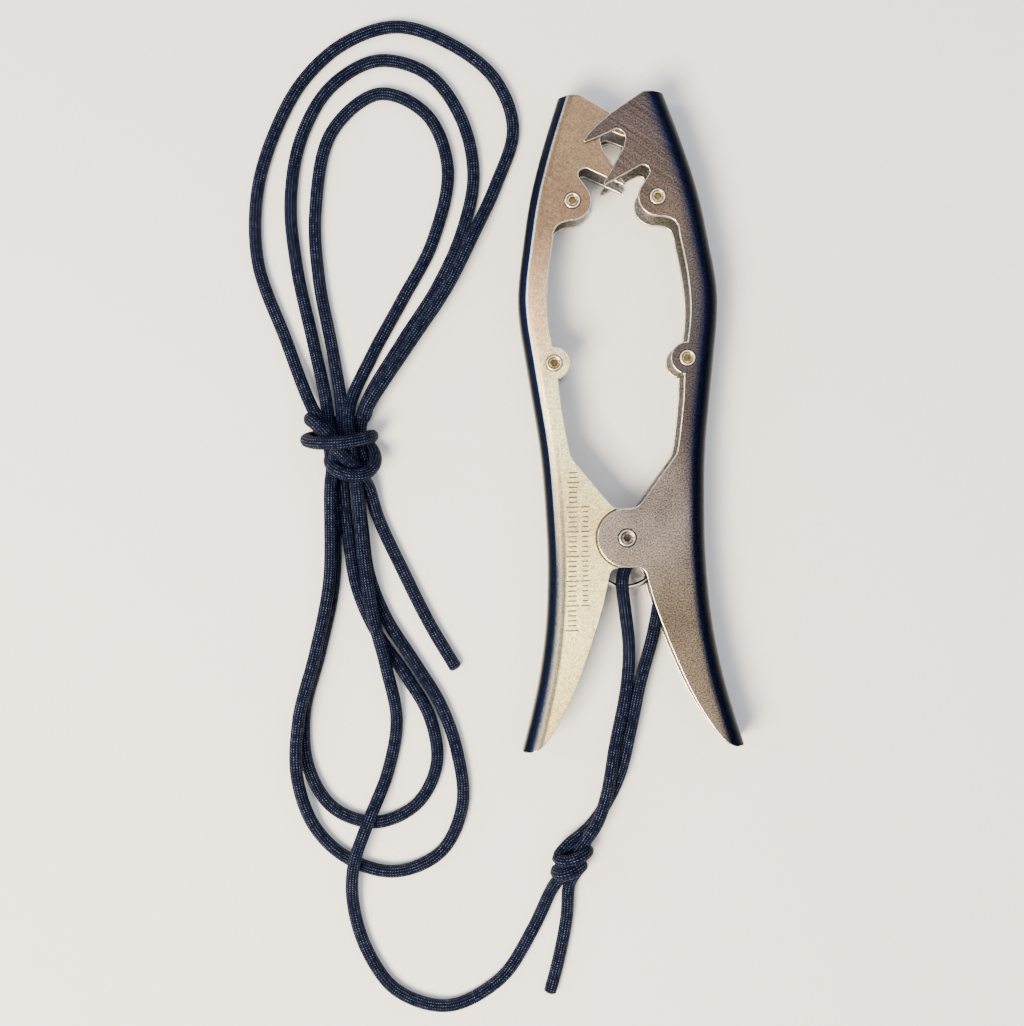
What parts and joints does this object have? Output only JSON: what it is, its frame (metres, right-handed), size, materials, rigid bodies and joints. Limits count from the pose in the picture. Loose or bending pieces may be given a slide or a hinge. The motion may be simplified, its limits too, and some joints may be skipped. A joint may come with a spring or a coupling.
{
  "type": "spring grip clamp",
  "caption": "Sprung two-arm clamp of pressed steel channels with claw jaws, a pivot ring and a knotted tether cord.",
  "frame": {"origin": "on the surface that the gripper lies on, under the middle of the gripper's own box, cord left out", "axes": "+X towards the right arm, +Y along the gripper towards the jaws, +Z out of the front face"},
  "size_m": [0.1471, 0.3088, 0.0185],
  "materials": {
    "left_arm_steel": "satin bead-blasted stainless steel sheet, warm tone",
    "right_arm_steel": "satin bead-blasted stainless steel sheet, brushed at the jaw",
    "spacer_steel": "turned steel",
    "screw_steel": "steel head with a yellow-plated socket",
    "spring_steel": "drawn spring wire",
    "ring_steel": "polished stainless wire",
    "cord": "braided nylon cord, navy black"
  },
  "bodies": {
    "left_arm": {"left_arm": "left_arm_steel", "left_upper_standoff": "spacer_steel", "left_mid_standoff": "spacer_steel", "left_upper_screw_front": "screw_steel", "left_upper_screw_back": "screw_steel", "left_mid_screw_front": "screw_steel", "left_mid_screw_back": "screw_steel", "pivot_barrel": "spacer_steel", "pivot_screw_front": "screw_steel", "pivot_screw_back": "screw_steel", "torsion_spring": "spring_steel", "tether_strand": "cord", "tail_strand": "cord", "small_knot": "cord", "tail_end": "cord", "standing_cord": "cord", "hank_knot": "cord", "inner_lower_loop": "cord", "outer_lower_loop": "cord", "inner_upper_loop": "cord", "middle_upper_loop": "cord", "outer_upper_loop": "cord", "free_end": "cord"},
    "right_arm": {"right_arm": "right_arm_steel", "right_upper_standoff": "spacer_steel", "right_mid_standoff": "spacer_steel", "right_upper_screw_front": "screw_steel", "right_upper_screw_back": "screw_steel", "right_mid_screw_front": "screw_steel", "right_mid_screw_back": "screw_steel"},
    "ring": {"tether_ring": "ring_steel"}
  },
  "joints": [
    {"name": "arm_pivot", "type": "hinge", "parent": "left_arm", "child": "right_arm", "pos_m": [0, -0.0354, 0.009], "axis": [0, 0, -1], "range_deg": [0, 26], "stiffness_Nm_per_rad": 1.2, "springref_deg": -17.19, "deforming": ["torsion_spring"]},
    {"name": "ring_swing", "type": "hinge", "parent": "left_arm", "child": "ring", "pos_m": [0, -0.0354, 0.0069], "axis": [0, 0, 1], "range_deg": [-15, 15]}
  ]
}
